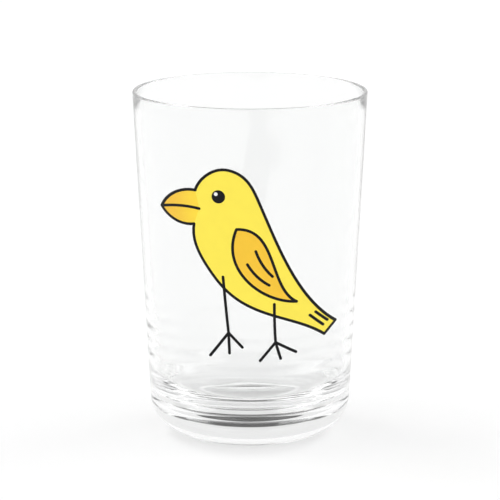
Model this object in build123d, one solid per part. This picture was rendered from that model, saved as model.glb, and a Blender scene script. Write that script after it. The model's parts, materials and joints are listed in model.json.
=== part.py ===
from build123d import *
from math import atan2, cos, pi, sin, tan
import os

# A printed drinking glass: one pressed glass tumbler, and a songbird printed on its front in ink films.
#
# Millimetres. Z is the tumbler's axis, z = 0 is the table, and the print faces -Y.
# The print is a mosaic. A white underbase lies on the glass, and the coloured films lie side by side on it.
# Black ink that runs past the white lies straight on the glass.

# ---- driving sizes of the glass ----
HEIGHT = 111.5
RIM_RADIUS = 37.5  # outside, where the wall would reach the full height
FOOT_RADIUS = 31.6  # outside, where the wall would reach the table
RIM_WALL = 1.3
FOOT_WALL = 2.9  # the wall's thickness, if it ran straight down to the table
HEEL_UPPER_RADIUS = 11.4
HEEL_LOWER_RADIUS = 14.7
HEEL_TURN = 0.63  # how far the upper heel arc turns, in radians
BEARING_WIDTH = 2.2  # the flat ring that stands on the table
PUNT_HEIGHT = 0.6  # how far the underside swells up inside the bearing ring
FLOOR_HEIGHT = 12.5  # top of the glass's floor at the axis
FLAT_RADIUS = 16.5  # the floor is flat out to here, and dished beyond
FLOOR_SLOPE = 0.3  # how steep the dish is where it meets the corner, in radians
FLOOR_CORNER = 10.5  # radius of the arc between the dish and the inside wall

# ---- driving sizes of the print ----
WHITE_FILM = 0.08
COLOUR_FILM = 0.08
LINE = 0.9  # width of the drawn black lines
PRINT_LOW, PRINT_HIGH = 28.0, 98.0  # heights between which the print lies
REDRAW_STEPS = 8  # spans in a spline that stands for an offset edge

# ---- the print's drawing, in (x, z) as seen from the front ----
BEAK_TOP = (-17.0, 85.2)
BEAK_TIP = (-27.6, 78.6)
BEAK_BOTTOM = (-17.4, 74.4)
BEAK_HINGE = (-15.8, 79.4)  # where the two halves of the beak meet the face
BEAK_RIDGE = (-23.6, 83.6)
BEAK_KEEL = (-23.0, 74.8)
GAPE_MIDDLE = (-21.8, 79.7)
TAIL_TOP = (27.0, 41.2)
TAIL_BOTTOM = (23.4, 37.6)
HEAD = [BEAK_TOP, (-14.4, 89.4), (-8.8, 92.2), (-2.2, 90.0), (2.6, 82.4)]
BACK = [*HEAD, (8.4, 68.6), (16.0, 54.0), TAIL_TOP]
BELLY = [TAIL_BOTTOM, (14.6, 42.8), (5.0, 46.4), (-5.2, 51.8), (-13.4, 61.2), (-17.2, 69.2), BEAK_BOTTOM]
WING_SHOULDER = (-4.2, 73.4)
WING_TIP = (14.6, 49.6)
WING_UPPER = [WING_SHOULDER, (1.4, 72.0), (7.4, 61.6), WING_TIP]
WING_LOWER = [WING_TIP, (5.0, 52.4), (-3.4, 60.2), WING_SHOULDER]
WING_FEATHERS = [[(-0.8, 62.2), (1.9, 58.6), (6.0, 55.4)], [(1.8, 66.4), (3.9, 62.0), (7.0, 58.2)]]
TAIL_FEATHERS = [[(18.8, 44.6), (23.0, 40.8)], [(20.6, 45.4), (24.4, 42.0)]]
EYE = (-9.8, 83.6)
EYE_RADIUS = 2.1
GLINT = (-10.6, 84.4)
GLINT_RADIUS = 0.6
LEFT_LEG = [(-8.4, 58.0), (-7.6, 49.0), (-6.7, 40.0)]
LEFT_TOES = [(-12.4, 32.3), (-6.4, 33.4), (-2.4, 35.4)]
RIGHT_LEG = [(7.6, 49.2), (7.7, 43.0), (8.0, 36.8)]
RIGHT_TOES = [(3.2, 31.0), (9.6, 31.4), (14.4, 33.2)]

# ---- the outside wall, as a line in (radius, height) ----
LEAN = atan2(RIM_RADIUS - FOOT_RADIUS, HEIGHT)


def wall_radius(height, outwards=0.0):
    """Radius of the outside wall at a height, moved outwards along its normal."""
    return FOOT_RADIUS + height * (RIM_RADIUS - FOOT_RADIUS) / HEIGHT + outwards / cos(LEAN)


def inner_radius(height):
    """Radius of the inside wall at a height: the wall thins evenly towards the rim."""
    thickness = FOOT_WALL + (RIM_WALL - FOOT_WALL) * height / HEIGHT
    return wall_radius(height) - thickness


# ---- the glass ----
def on_arc(centre, radius, angle):
    """The point on a circle in (radius, height) at an angle from horizontal."""
    return centre[0] + radius * cos(angle), centre[1] + radius * sin(angle)


def outer_profile():
    """Edges from the bearing ring up the heel to the wall, the wall's lowest point and the ring's edge."""
    turned = -LEAN - HEEL_TURN
    upper_height = HEEL_LOWER_RADIUS + (HEEL_LOWER_RADIUS - HEEL_UPPER_RADIUS) * sin(turned)
    wall_start = upper_height - HEEL_UPPER_RADIUS * sin(LEAN)
    upper = (wall_radius(wall_start) - HEEL_UPPER_RADIUS * cos(LEAN), upper_height)
    lower = (upper[0] - (HEEL_LOWER_RADIUS - HEEL_UPPER_RADIUS) * cos(turned), HEEL_LOWER_RADIUS)
    foot = (lower[0], 0)
    knee = on_arc(upper, HEEL_UPPER_RADIUS, turned)
    shoulder = on_arc(upper, HEEL_UPPER_RADIUS, -LEAN)
    edges = [
        ThreePointArc(foot, on_arc(lower, HEEL_LOWER_RADIUS, (turned - pi / 2) / 2), knee),
        ThreePointArc(knee, on_arc(upper, HEEL_UPPER_RADIUS, -LEAN - HEEL_TURN / 2), shoulder),
    ]
    return edges, shoulder, foot


def inner_profile():
    """Edges from the inside wall round the corner and down the dish to the axis, and the wall's end."""
    lean = atan2(inner_radius(HEIGHT) - inner_radius(0), HEIGHT)
    across = sin(FLOOR_SLOPE)
    fall = 1 - cos(FLOOR_SLOPE)
    wall = inner_radius(FLOOR_HEIGHT + FLOOR_CORNER * (1 - sin(lean)))
    free_width = wall - FLOOR_CORNER * cos(lean) - FLAT_RADIUS
    extra = free_width / (across - tan(lean) * fall)  # the dish's radius less the corner's
    corner = (FLAT_RADIUS + extra * across, FLOOR_HEIGHT + FLOOR_CORNER + extra * fall)
    dish = (FLAT_RADIUS, FLOOR_HEIGHT + FLOOR_CORNER + extra)
    wall_end = on_arc(corner, FLOOR_CORNER, -lean)
    join = FLOOR_SLOPE - pi / 2
    corner_end = on_arc(corner, FLOOR_CORNER, join)
    flat_edge = (FLAT_RADIUS, FLOOR_HEIGHT)
    edges = [
        ThreePointArc(wall_end, on_arc(corner, FLOOR_CORNER, (join - lean) / 2), corner_end),
        ThreePointArc(corner_end, on_arc(dish, FLOOR_CORNER + extra, (join - pi / 2) / 2), flat_edge),
        Line(flat_edge, (0, FLOOR_HEIGHT)),
    ]
    return edges, wall_end


def tumbler():
    """The glass as one turned solid: a fire-polished rim, a heavy foot, an underside that swells up."""
    heel, shoulder, foot = outer_profile()
    bowl, wall_end = inner_profile()
    round_height = HEIGHT - RIM_WALL / 2
    outer_top = (wall_radius(round_height), round_height)
    inner_top = (inner_radius(round_height), round_height)
    rim_top = ((outer_top[0] + inner_top[0]) / 2, HEIGHT)
    ring_inner = (foot[0] - BEARING_WIDTH, 0)
    profile = [
        Line((0, FLOOR_HEIGHT), (0, PUNT_HEIGHT)),
        Spline([(0, PUNT_HEIGHT), ring_inner], tangents=[(1, 0), (1, 0)]),
        Line(ring_inner, foot),
        *heel,
        Line(shoulder, outer_top),
        ThreePointArc(outer_top, rim_top, inner_top),
        Line(inner_top, wall_end),
        *bowl,
    ]
    return revolve(Plane.XZ * make_face(profile), axis=Axis.Z)


# ---- the print's areas, flat ----
def redrawn(area):
    """The same area with each offset edge as a plain spline, which keeps the films' side walls simple."""
    edges = []
    for edge in area.face().outer_wire().edges():
        if edge.geom_type == GeomType.OFFSET:
            points = [edge @ (step / REDRAW_STEPS) for step in range(REDRAW_STEPS + 1)]
            edge = Spline(points, tangents=[edge % 0, edge % 1])
        edges.append(edge)
    return make_face(edges)


def thickened(curve):
    """A black line of the drawing along a curve, as a face with round ends."""
    return redrawn(make_face(offset(curve, amount=LINE / 2, side=Side.BOTH).edges()))


def drawn(points):
    """A black line of the drawing through its points."""
    return thickened(Line(points) if len(points) == 2 else Spline(points))


def traced(area):
    """A black line drawn all round an area, half of its width on each side of the edge."""
    return redrawn(offset(area, LINE / 2)) - redrawn(offset(area, -LINE / 2))


def joined(faces):
    """Several faces as one sketch."""
    return Sketch() + list(faces)


def leg(line, toes):
    """A leg drawn as one line, with its toes spread from the ankle."""
    ankle = line[-1]
    return joined([drawn(line), *[drawn([ankle, toe]) for toe in toes]])


def drawing():
    """Each area of ink by name, none sharing ground with another, and the area with white ink under it."""
    gape = ThreePointArc(BEAK_TIP, GAPE_MIDDLE, BEAK_HINGE)
    ridge = ThreePointArc(BEAK_TOP, BEAK_RIDGE, BEAK_TIP)
    keel = ThreePointArc(BEAK_BOTTOM, BEAK_KEEL, BEAK_TIP)
    upper_beak = make_face([ridge, gape, Line(BEAK_HINGE, BEAK_TOP)])
    lower_beak = make_face([gape, Line(BEAK_HINGE, BEAK_BOTTOM), keel])
    tail_end = Line(TAIL_TOP, TAIL_BOTTOM)
    body = make_face([Spline(BACK), tail_end, Spline(BELLY), Line(BEAK_BOTTOM, BEAK_TOP)])
    body -= upper_beak + lower_beak
    wing = make_face([Spline(WING_UPPER), Spline(WING_LOWER)])
    silhouette = body + upper_beak + lower_beak
    eye = Pos(*EYE) * Circle(EYE_RADIUS)
    glint = Pos(*GLINT) * Circle(GLINT_RADIUS)

    legs = {"left": leg(LEFT_LEG, LEFT_TOES), "right": leg(RIGHT_LEG, RIGHT_TOES)}
    outline = traced(silhouette) - joined(legs.values())
    areas = {
        "outline_black": outline,
        "beak_line_black": thickened(gape) - outline,
        "wing_outline_black": traced(wing),
        "wing_feather_lines_black": joined(drawn(line) for line in WING_FEATHERS),
        "tail_feather_lines_black": joined(drawn(line) for line in TAIL_FEATHERS),
        "eye_black": eye - glint,
        "eye_glint_white": glint,
        "leg_left_black": legs["left"],
        "leg_right_black": legs["right"],
    }
    lines = joined(areas.values())
    areas["beak_upper_orange"] = upper_beak - lines
    areas["beak_lower_orange"] = lower_beak - lines
    areas["wing_gold"] = wing - lines
    areas["body_yellow"] = body - wing - lines
    return areas, silhouette


# ---- the print's films, on the glass ----
def sleeve(low, high):
    """The space between two distances from the glass's outside wall, over the print's height."""
    corners = [(PRINT_LOW, low), (PRINT_HIGH, low), (PRINT_HIGH, high), (PRINT_LOW, high)]
    points = [(wall_radius(height, distance), height) for height, distance in corners]
    return revolve(Plane.XZ * make_face(Polyline(points, close=True)), axis=Axis.Z)


def film(area, low, high):
    """An area of the drawing as ink on the glass's front, between two distances from the glass."""
    return extrude(Plane.XZ * area, amount=2 * RIM_RADIUS) & sleeve(low, high)


def print_films():
    """Every ink film by its node's name."""
    areas, silhouette = drawing()
    top = WHITE_FILM + COLOUR_FILM
    white = film(silhouette, 0, WHITE_FILM)
    films = {"ink_white_underbase": white}
    for name, area in areas.items():
        runs_past_the_white = (area - silhouette).area > 0
        laid = film(area, 0, top) - white if runs_past_the_white else film(area, WHITE_FILM, top)
        films["ink_" + name] = laid
    return films


def main():
    os.makedirs("parts", exist_ok=True)
    for name, piece in {"tumbler": tumbler(), **print_films()}.items():
        export_step(piece, f"parts/{name}.step")


main()
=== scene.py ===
import json
import math

import bmesh
import bpy
import numpy as np
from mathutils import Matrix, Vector
from mathutils.geometry import delaunay_2d_cdt


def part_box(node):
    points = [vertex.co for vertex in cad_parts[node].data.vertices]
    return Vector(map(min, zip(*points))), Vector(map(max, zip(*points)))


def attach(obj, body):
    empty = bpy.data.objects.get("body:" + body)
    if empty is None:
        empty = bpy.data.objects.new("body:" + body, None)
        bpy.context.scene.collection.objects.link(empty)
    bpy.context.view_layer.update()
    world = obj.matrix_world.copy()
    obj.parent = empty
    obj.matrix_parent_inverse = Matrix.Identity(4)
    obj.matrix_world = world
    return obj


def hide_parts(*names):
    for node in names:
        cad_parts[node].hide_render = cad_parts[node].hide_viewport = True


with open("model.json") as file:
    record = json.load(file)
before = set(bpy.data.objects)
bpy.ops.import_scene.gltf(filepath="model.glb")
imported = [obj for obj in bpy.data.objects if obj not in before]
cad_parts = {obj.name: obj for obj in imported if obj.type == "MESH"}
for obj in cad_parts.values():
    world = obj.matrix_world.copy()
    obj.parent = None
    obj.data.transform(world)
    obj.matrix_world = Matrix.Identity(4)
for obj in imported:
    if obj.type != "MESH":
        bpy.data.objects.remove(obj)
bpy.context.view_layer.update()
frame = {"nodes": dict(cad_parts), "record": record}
nodes = frame["nodes"]

MM = 0.001

# ---- the glass, in millimetres: the same driving sizes as the CAD ----
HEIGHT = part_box("tumbler")[1].z / MM
RIM_RADIUS = 37.5
FOOT_RADIUS = 31.6
RIM_WALL = 1.3
FOOT_WALL = 2.9
HEEL_UPPER_RADIUS = 11.4
HEEL_LOWER_RADIUS = 14.7
HEEL_TURN = 0.63
BEARING_WIDTH = 2.2
PUNT_HEIGHT = 0.6
FLOOR_HEIGHT = 12.5
FLAT_RADIUS = 16.5
FLOOR_SLOPE = 0.3
FLOOR_CORNER = 10.5
SEGMENTS = 384  # round the axis
PUNT_POINTS, RING_POINTS, HEEL_POINTS, SHOULDER_POINTS = 24, 2, 30, 16  # along each stretch of the outline
RIM_POINTS, CORNER_POINTS, DISH_POINTS, FLAT_POINTS = 15, 30, 16, 10
OUTSIDE_POINTS, SMOOTH_POINTS, RIPPLED_POINTS = 20, 10, 60
RIPPLE = 0.06  # height of the faint waves that pressing leaves inside the low wall
RIPPLE_LENGTH = 4.6  # from one wave to the next
RIPPLE_FROM, RIPPLE_TO = 15.0, 52.0  # heights between which they lie
RIPPLE_DRIFTS = [(0.9, 2, 0.7), (0.5, 5, 2.0)]  # how they wander: swing, turns round the axis and start
RIPPLE_SECOND = (0.5, 0.57, 3)  # a weaker and longer wave: its share, pace and turns round the axis

# ---- the print, in millimetres ----
WHITE_FILM = 0.08
CONTACT = {True: -0.02, False: -0.015}  # inner face of the underbase and of other ink: no air under it
OUTLINE_STEP = 0.25  # longest edge round a film
GRID_STEP = 0.8  # spacing of points inside a film
EDGE_WIDTH = 0.14  # how far in from its edge a film is rounded
EDGE_DROP = 0.05  # how much thinner it is at the edge
BEAK_FADE = (-26.0, -16.0)  # between these x the beak's ink turns lighter
SLIVER = 1e-5  # a triangle whose middle is nearer the edge than this is dropped
ROW_ROOM = 0.9  # share of a row's distance that it must keep from every edge
SHARP_ANGLE = 50  # degrees between two faces whose edge isn't smoothed

# ---- the materials ----
GLASS_TINT = (0.952, 0.956, 0.954, 1)
GLASS_IOR = 1.52
GRAIN_SCALE = 5200  # the ink's fine grain, in noise cells per metre
GRAIN_HEIGHT = 0.01  # millimetres
PASS_SCALE = 260  # the broad unevenness between the printer's passes
INK_SHADE = (0.975, 1.015)  # how much darker and lighter the grain makes the colour
INK_ROUGHNESS = (0.36, 0.46)
INK_SPECULAR = 0.15

# ---- the photographer's set, in metres ----
CAMERA_DISTANCE = 1.007
CAMERA_HEIGHT = 0.273
CAMERA_PITCH = 0.209  # radians below the horizon
CAMERA_LENS = 230.6  # millimetres
CAMERA_SENSOR = 36  # millimetres
CAMERA_CLIP = (0.01, 50)

SWEEP_WHITE = 0.87  # radiance of the white sweep all round the glass
SWEEP_TOP = (0.345, 0.375)  # radians above the horizon between which the sweep ends
STUDIO_DARK = 0.10  # radiance of the unlit studio above the sweep
FRONT_WHITE = 1.1  # the front light, on the camera's side
FRONT_TOP = (0.8, 0.95)  # radians above the horizon
FRONT_TURN = (-0.4, 0.0)  # where it ends at the sides, as the Y part of the direction
STRIP_WHITE = 2.6  # radiance of the two strip lights
STRIP_LEFT = (-0.36, -0.30)  # where they start and end, as the X and Y parts of the direction
STRIP_RIGHT = (0.42, 0.48)
STRIP_OUTER = (0.70, 0.78)
STRIP_FRONT = (-0.25, -0.15)
STRIP_BACK = (0.55, 0.65)

TABLE_WHITE = 0.53  # how much light the table scatters
TABLE_GLOW = 0.58  # and how much it gives, lit from below
TABLE_ROUGHNESS = 0.7
TABLE_SIZE = 8

BOUNCES = 128  # light is guided a long way inside the wall
DIFFUSE_BOUNCES = 24

LEAN = math.atan2(RIM_RADIUS - FOOT_RADIUS, HEIGHT)


def wall_radius(height, outwards=0.0):
    """Radius of the outside wall at a height, moved outwards along its normal. Works on arrays too."""
    return FOOT_RADIUS + height * (RIM_RADIUS - FOOT_RADIUS) / HEIGHT + outwards / math.cos(LEAN)


def inner_radius(height):
    """Radius of the inside wall at a height."""
    return wall_radius(height) - (FOOT_WALL + (RIM_WALL - FOOT_WALL) * height / HEIGHT)


# ---- helpers ----
def new_object(name, data):
    piece = bpy.data.objects.new(name, data)
    bpy.context.scene.collection.objects.link(piece)
    return piece


def arc(centre, radius, start, end, count):
    """Points on an arc in (radius, height), from one angle to another, both ends included."""
    angles = np.linspace(start, end, count)
    return [(centre[0] + radius * math.cos(a), centre[1] + radius * math.sin(a)) for a in angles]


def line(start, end, count):
    """Evenly spaced points on a straight run, without its two ends."""
    run = np.subtract(end, start)
    return [tuple(np.add(start, run * step / (count + 1))) for step in range(1, count + 1)]


# ---- materials ----
def node(tree, kind, values=None, **settings):
    """A shader node with its settings, and its input sockets set or linked."""
    made = tree.nodes.new(kind)
    for name, value in settings.items():
        setattr(made, name, value)
    for name, value in (values or {}).items():
        if isinstance(value, bpy.types.NodeSocket):
            tree.links.new(value, made.inputs[name])
        else:
            made.inputs[name].default_value = value
    return made


def product(tree, first, second):
    return node(tree, "ShaderNodeMath", {0: first, 1: second}, operation="MULTIPLY").outputs[0]


def total(tree, first, second):
    return node(tree, "ShaderNodeMath", {0: first, 1: second}, operation="ADD").outputs[0]


def ramp(tree, value, span, start, end):
    """A smooth change from one number to another while a value crosses a span."""
    limits = {"Value": value, "From Min": span[0], "From Max": span[1], "To Min": start, "To Max": end}
    return node(tree, "ShaderNodeMapRange", limits, interpolation_type="SMOOTHSTEP").outputs["Result"]


def new_material(name):
    material = bpy.data.materials.new(name)
    material.use_nodes = True
    return material, material.node_tree, material.node_tree.nodes["Principled BSDF"]


def glass_material():
    """Clear soda-lime glass, almost without colour."""
    material, _, shader = new_material("clear_glass")
    shader.inputs["Base Color"].default_value = GLASS_TINT
    shader.inputs["Roughness"].default_value = 0.0
    shader.inputs["IOR"].default_value = GLASS_IOR
    shader.inputs["Transmission Weight"].default_value = 1.0
    return material


def ink_material(name, colour, end_colour=None):
    """Cured ink: a fine grain in colour and height, and a soft gloss. The colour may fade along X."""
    material, tree, shader = new_material(name)
    place = node(tree, "ShaderNodeTexCoord").outputs["Object"]
    fine = {"Vector": place, "Scale": GRAIN_SCALE, "Detail": 2.0, "Roughness": 0.6}
    grain = node(tree, "ShaderNodeTexNoise", fine).outputs["Fac"]
    broad = {"Vector": place, "Scale": PASS_SCALE, "Detail": 1.0}
    passes = node(tree, "ShaderNodeTexNoise", broad).outputs["Fac"]
    plain = tuple(colour) + (1,)
    if end_colour:
        along = node(tree, "ShaderNodeSeparateXYZ", {"Vector": place}).outputs["X"]
        span = {"Value": along, "From Min": BEAK_FADE[0] * MM, "From Max": BEAK_FADE[1] * MM}
        fade = node(tree, "ShaderNodeMapRange", span, interpolation_type="SMOOTHSTEP")
        blend = node(tree, "ShaderNodeMix", {"Factor": fade.outputs["Result"]}, data_type="RGBA")
        blend.inputs[6].default_value = plain
        blend.inputs[7].default_value = tuple(end_colour) + (1,)
        plain = blend.outputs[2]
    shading = {"Value": total(tree, grain, passes), "From Min": 0.7, "From Max": 1.3}
    shading.update({"To Min": INK_SHADE[0], "To Max": INK_SHADE[1]})
    shade = node(tree, "ShaderNodeMapRange", shading)
    tone = node(tree, "ShaderNodeHueSaturation", {"Color": plain, "Value": shade.outputs["Result"]})
    tree.links.new(tone.outputs["Color"], shader.inputs["Base Color"])
    grained = {"Height": grain, "Strength": 0.25, "Distance": GRAIN_HEIGHT * MM}
    relief = node(tree, "ShaderNodeBump", grained)
    tree.links.new(relief.outputs["Normal"], shader.inputs["Normal"])
    gloss = {"Value": passes, "From Min": 0.3, "From Max": 0.7}
    gloss.update({"To Min": INK_ROUGHNESS[0], "To Max": INK_ROUGHNESS[1]})
    sheen = node(tree, "ShaderNodeMapRange", gloss)
    tree.links.new(sheen.outputs["Result"], shader.inputs["Roughness"])
    shader.inputs["Specular IOR Level"].default_value = INK_SPECULAR
    return material


# ---- the tumbler ----
def tumbler_profile():
    """The glass's outline in (radius, height), from the underside's centre round to the floor's centre."""
    turned = -LEAN - HEEL_TURN
    upper_height = HEEL_LOWER_RADIUS + (HEEL_LOWER_RADIUS - HEEL_UPPER_RADIUS) * math.sin(turned)
    wall_start = upper_height - HEEL_UPPER_RADIUS * math.sin(LEAN)
    upper = (wall_radius(wall_start) - HEEL_UPPER_RADIUS * math.cos(LEAN), upper_height)
    lower = (upper[0] - (HEEL_LOWER_RADIUS - HEEL_UPPER_RADIUS) * math.cos(turned), HEEL_LOWER_RADIUS)
    ring_inner = lower[0] - BEARING_WIDTH
    shares = np.linspace(0, 1, PUNT_POINTS)
    punt = [(ring_inner * t, PUNT_HEIGHT * (1 - t * t * (3 - 2 * t))) for t in shares]
    ring = line((ring_inner, 0), (lower[0], 0), RING_POINTS)
    heel = arc(lower, HEEL_LOWER_RADIUS, -math.pi / 2, turned, HEEL_POINTS)
    heel += arc(upper, HEEL_UPPER_RADIUS, turned, -LEAN, SHOULDER_POINTS)[1:]

    rim_height = HEIGHT - RIM_WALL / 2
    rim_out = (wall_radius(rim_height), rim_height)
    rim_in = (inner_radius(rim_height), rim_height)
    rim_centre = ((rim_out[0] + rim_in[0]) / 2, rim_height)
    half_wall = (rim_out[0] - rim_in[0]) / 2
    rim = [
        (rim_centre[0] + half_wall * math.cos(a), rim_height + RIM_WALL / 2 * math.sin(a))
        for a in np.linspace(0, math.pi, RIM_POINTS)
    ]

    lean = math.atan2(inner_radius(HEIGHT) - inner_radius(0), HEIGHT)
    across, fall = math.sin(FLOOR_SLOPE), 1 - math.cos(FLOOR_SLOPE)
    free_width = inner_radius(FLOOR_HEIGHT + FLOOR_CORNER * (1 - math.sin(lean)))
    free_width -= FLOOR_CORNER * math.cos(lean) + FLAT_RADIUS
    extra = free_width / (across - math.tan(lean) * fall)  # the dish's radius less the corner's
    corner = (FLAT_RADIUS + extra * across, FLOOR_HEIGHT + FLOOR_CORNER + extra * fall)
    dish = (FLAT_RADIUS, FLOOR_HEIGHT + FLOOR_CORNER + extra)
    join = FLOOR_SLOPE - math.pi / 2
    bowl = arc(corner, FLOOR_CORNER, -lean, join, CORNER_POINTS)
    floor = arc(dish, FLOOR_CORNER + extra, join, -math.pi / 2, DISH_POINTS)[1:]
    floor += [(FLAT_RADIUS * t, FLOOR_HEIGHT) for t in np.linspace(1, 0, FLAT_POINTS)[1:]]
    outside = line(heel[-1], rim_out, OUTSIDE_POINTS)
    smooth_end = (inner_radius(RIPPLE_TO), RIPPLE_TO)
    inside = line(rim_in, smooth_end, SMOOTH_POINTS) + [smooth_end]
    inside += line(smooth_end, bowl[0], RIPPLED_POINTS)
    return punt + ring + heel + outside + rim + inside + bowl + floor


def ripple(angles, height):
    """How far the waves move the inside wall outwards at a height, at each angle round the axis."""
    rise = np.clip((height - RIPPLE_FROM) / (RIPPLE_TO - RIPPLE_FROM), 0, 1)
    fade = math.sin(math.pi * rise) ** 2
    drift = sum(swing * np.sin(turns * angles + start) for swing, turns, start in RIPPLE_DRIFTS)
    phase = 2 * math.pi * height / RIPPLE_LENGTH + drift
    share, pace, turns = RIPPLE_SECOND
    return RIPPLE * fade * (np.sin(phase) + share * np.sin(pace * phase + turns * angles))


def lathe(name, profile):
    """A closed turned mesh from an outline that starts and ends on the axis."""
    angles = np.arange(SEGMENTS) * 2 * math.pi / SEGMENTS
    rings = []
    for r, z in profile[1:-1]:
        radius = r + ripple(angles, z) * (r < wall_radius(z) - RIM_WALL)
        rings.append((radius * np.cos(angles), radius * np.sin(angles), np.full(SEGMENTS, z)))
    rows = np.stack([np.stack(ring, 1) for ring in rings])
    vertices = np.concatenate([[(0, 0, profile[0][1])], rows.reshape(-1, 3), [(0, 0, profile[-1][1])]])
    last = len(vertices) - 1
    faces = []
    for k in range(SEGMENTS):
        following = (k + 1) % SEGMENTS
        faces.append((0, 1 + following, 1 + k))
        for row in range(len(rings) - 1):
            a, b = 1 + row * SEGMENTS, 1 + (row + 1) * SEGMENTS
            faces.append((a + k, a + following, b + following, b + k))
        top = 1 + (len(rings) - 1) * SEGMENTS
        faces.append((top + k, top + following, last))
    mesh = bpy.data.meshes.new(name)
    mesh.from_pydata((vertices * MM).tolist(), [], faces)
    mesh.polygons.foreach_set("use_smooth", [True] * len(mesh.polygons))
    mesh.update()
    return new_object(name, mesh)


def make_tumbler():
    piece = lathe("tumbler_glass", tumbler_profile())
    piece.data.materials.append(glass_material())
    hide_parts("tumbler")
    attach(piece, "root")
    return piece


# ---- the print ----
def film_outline(film_node):
    """Closed loops of (x, z) in millimetres round a CAD film's outer face, and its two faces' distances."""
    film = bmesh.new()
    film.from_mesh(nodes[film_node].data)
    bmesh.ops.remove_doubles(film, verts=film.verts, dist=1e-7)
    distance = {}
    for vertex in film.verts:
        x, y, z = vertex.co / MM
        distance[vertex] = (math.hypot(x, y) - wall_radius(z)) * math.cos(LEAN)
    low, top = min(distance.values()), max(distance.values())
    near_top = top - WHITE_FILM / 4
    outer = [face for face in film.faces if all(distance[vertex] > near_top for vertex in face.verts)]
    outer_set = set(outer)
    following = {}
    for face in outer:
        for loop in face.loops:
            if sum(other in outer_set for other in loop.edge.link_faces) == 1:
                following[loop.vert] = loop.link_loop_next.vert
    loops = []
    while following:
        start, vertex = following.popitem()
        loop = [start]
        while vertex is not start:
            loop.append(vertex)
            vertex = following.pop(vertex)
        loops.append(np.array([(vertex.co.x, vertex.co.z) for vertex in loop]) / MM)
    film.free()
    return loops, low, top


def resampled(loop):
    """A closed loop with extra points, so that none of its edges is longer than OUTLINE_STEP."""
    points = []
    for start, end in zip(loop, np.roll(loop, -1, axis=0)):
        count = max(1, math.ceil(np.linalg.norm(end - start) / OUTLINE_STEP))
        points += [start + (end - start) * step / count for step in range(count)]
    return np.array(points)


def edge_distance(points, loops):
    """Distance of each point from the nearest loop: above 0 inside the area they enclose, else below."""
    starts = np.concatenate(loops)
    ends = np.concatenate([np.roll(loop, -1, axis=0) for loop in loops])
    nearest = np.full(len(points), np.inf)
    crossings = np.zeros(len(points), int)
    for start, end in zip(starts, ends):
        run = end - start
        along = np.clip((points - start) @ run / max(run @ run, 1e-12), 0, 1)
        nearest = np.minimum(nearest, np.linalg.norm(points - start - along[:, None] * run, axis=1))
        spans = (start[1] > points[:, 1]) != (end[1] > points[:, 1])
        if spans.any():
            crossing = start[0] + (points[spans, 1] - start[1]) * run[0] / run[1]
            crossings[spans] += points[spans, 0] < crossing
    return np.where(crossings % 2 == 1, nearest, -nearest)


def inset(loop, amount):
    """A loop's points moved into the area on its left."""
    run = np.roll(loop, -1, axis=0) - np.roll(loop, 1, axis=0)
    return loop + amount * np.stack([-run[:, 1], run[:, 0]], 1) / np.linalg.norm(run, axis=1)[:, None]


def area_mesh(loops):
    """Points, triangles and edge distances that fill an area: rows along its edge and a grid inside."""
    outline = np.concatenate(loops)
    low, high = outline.min(0), outline.max(0)
    across, up = np.meshgrid(np.arange(low[0], high[0], GRID_STEP), np.arange(low[1], high[1], GRID_STEP))
    grid = np.stack([across.ravel(), up.ravel()], 1)
    grid = grid[edge_distance(grid, loops) > EDGE_WIDTH + GRID_STEP / 3]
    rows = [grid]
    for amount in (EDGE_WIDTH / 2, EDGE_WIDTH):
        row = np.concatenate([inset(loop, amount) for loop in loops])
        rows.append(row[edge_distance(row, loops) > amount * ROW_ROOM])
    points = np.concatenate([outline, *rows])
    edges = []
    first = 0
    for loop in loops:
        edges += [(first + step, first + (step + 1) % len(loop)) for step in range(len(loop))]
        first += len(loop)
    points, _, faces, *_ = delaunay_2d_cdt([Vector(point) for point in points], edges, [], 0, 1e-6)
    points = np.array([point[:] for point in points])
    faces = np.array(faces)
    faces = faces[edge_distance(points[faces].mean(1), loops) > SLIVER]
    return points, faces, np.maximum(edge_distance(points, loops), 0)


def on_glass(points, distance):
    """Flat drawing points as places at a distance from the glass's front, in metres."""
    radius = wall_radius(points[:, 1], distance)
    return np.stack([points[:, 0], -np.sqrt(radius**2 - points[:, 0] ** 2), points[:, 1]], 1) * MM


def ink_piece(name, film, material):
    """A printed film with rounded edges, in the place of the CAD film."""
    loops, low, top = film_outline(film)
    points, faces, inwards = area_mesh([resampled(loop) for loop in loops])
    rounding = np.clip(inwards / EDGE_WIDTH, 0, 1)
    outer = on_glass(points, top - EDGE_DROP * (1 - rounding) ** 2)
    lies_on_glass = low < WHITE_FILM / 2
    inner = on_glass(points, CONTACT[film == "ink_white_underbase"] if lies_on_glass else low)
    count = len(points)
    sides = {(a, b) for face in faces.tolist() for a, b in zip(face, face[1:] + face[:1])}
    polygons = faces.tolist() + (faces[:, ::-1] + count).tolist()
    polygons += [(b, a, a + count, b + count) for a, b in sorted(sides) if (b, a) not in sides]
    mesh = bpy.data.meshes.new(name)
    mesh.from_pydata(np.concatenate([outer, inner]).tolist(), [], polygons)
    mesh.polygons.foreach_set("use_smooth", [True] * len(mesh.polygons))
    mesh.set_sharp_from_angle(angle=math.radians(SHARP_ANGLE))
    piece = new_object(name, mesh)
    mesh.materials.append(material)
    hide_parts(film)
    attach(piece, "root")
    return piece


INKS = {
    "ink_white": ((0.90, 0.90, 0.89), None),
    "ink_yellow": ((1.0, 0.83, 0.095), None),
    "ink_gold": ((0.95, 0.58, 0.045), None),
    "ink_orange": ((0.92, 0.55, 0.06), (1.0, 0.72, 0.06)),
    "ink_black": ((0.006, 0.006, 0.007), None),
}


def make_print():
    slots = {part["node"]: part["material_slot"] for part in frame["record"]["subparts"]}
    inks = {slot: ink_material(slot, *colours) for slot, colours in INKS.items()}
    for film in sorted(slots):
        if slots[film] in inks:
            ink_piece(film.replace("ink_", "print_"), film, inks[slots[film]])


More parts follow.
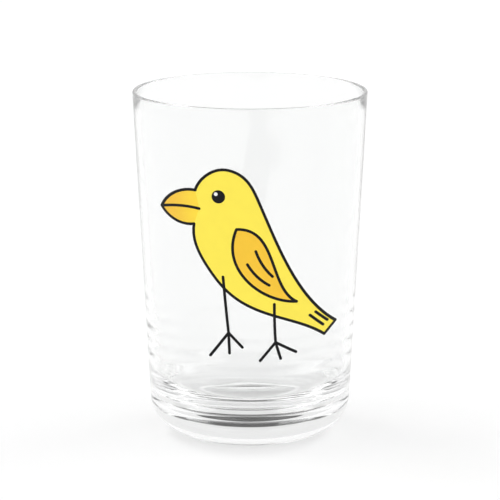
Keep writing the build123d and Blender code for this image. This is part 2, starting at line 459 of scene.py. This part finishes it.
# ---- the stage ----
def make_floor():
    bpy.ops.mesh.primitive_plane_add(size=TABLE_SIZE)
    floor = bpy.context.object
    floor.name = "floor"
    material, _, shader = new_material("floor")
    shader.inputs["Base Color"].default_value = (TABLE_WHITE, TABLE_WHITE, TABLE_WHITE, 1)
    shader.inputs["Roughness"].default_value = TABLE_ROUGHNESS
    shader.inputs["Emission Color"].default_value = (1, 1, 1, 1)
    shader.inputs["Emission Strength"].default_value = TABLE_GLOW
    floor.data.materials.append(material)


def make_camera():
    camera = bpy.data.cameras.new("camera")
    camera.lens = CAMERA_LENS
    camera.sensor_width = CAMERA_SENSOR
    camera.clip_start, camera.clip_end = CAMERA_CLIP
    seen = new_object("camera", camera)
    seen.location = (0, -CAMERA_DISTANCE, CAMERA_HEIGHT)
    seen.rotation_euler = (math.pi / 2 - CAMERA_PITCH, 0, 0)
    bpy.context.scene.camera = seen


def make_world():
    """A lit white sweep round the glass, a front light, and two strip lights overhead in a dark studio."""
    world = bpy.data.worlds.new("studio")
    bpy.context.scene.world = world
    world.use_nodes = True
    tree = world.node_tree
    way = node(tree, "ShaderNodeTexCoord").outputs["Generated"]
    across, along, up = node(tree, "ShaderNodeSeparateXYZ", {"Vector": way}).outputs
    height = node(tree, "ShaderNodeMath", {0: up}, operation="ARCSINE").outputs[0]
    aside = node(tree, "ShaderNodeMath", {0: across}, operation="ABSOLUTE").outputs[0]
    front = ramp(tree, along, FRONT_TURN, FRONT_WHITE, 0)
    front = product(tree, front, ramp(tree, height, FRONT_TOP, 1, 0))
    strip = product(tree, ramp(tree, along, STRIP_FRONT, 0, 1), ramp(tree, along, STRIP_BACK, 1, 0))
    strip = product(tree, strip, ramp(tree, aside, STRIP_OUTER, 1, 0))
    left = ramp(tree, across, STRIP_LEFT, STRIP_WHITE, 0)
    sides = total(tree, left, ramp(tree, across, STRIP_RIGHT, 0, STRIP_WHITE))
    strip = product(tree, strip, sides)
    above = total(tree, total(tree, front, strip), STUDIO_DARK)
    sweep = ramp(tree, height, SWEEP_TOP, 0, 1)
    mixed = {0: sweep, 2: SWEEP_WHITE, 3: above}
    light = node(tree, "ShaderNodeMix", mixed, data_type="FLOAT").outputs[0]
    background = tree.nodes["Background"]
    background.inputs["Color"].default_value = (1, 1, 1, 1)
    tree.links.new(light, background.inputs["Strength"])


def set_light_paths():
    """Enough bounces for light that crosses both walls, the heavy foot and the floor below it."""
    cycles = bpy.context.scene.cycles
    cycles.max_bounces = BOUNCES
    cycles.transmission_bounces = BOUNCES
    cycles.glossy_bounces = BOUNCES
    cycles.diffuse_bounces = DIFFUSE_BOUNCES


make_camera()
make_tumbler()
make_print()
make_floor()
make_world()
set_light_paths()
bpy.context.scene.view_settings.view_transform = "Standard"
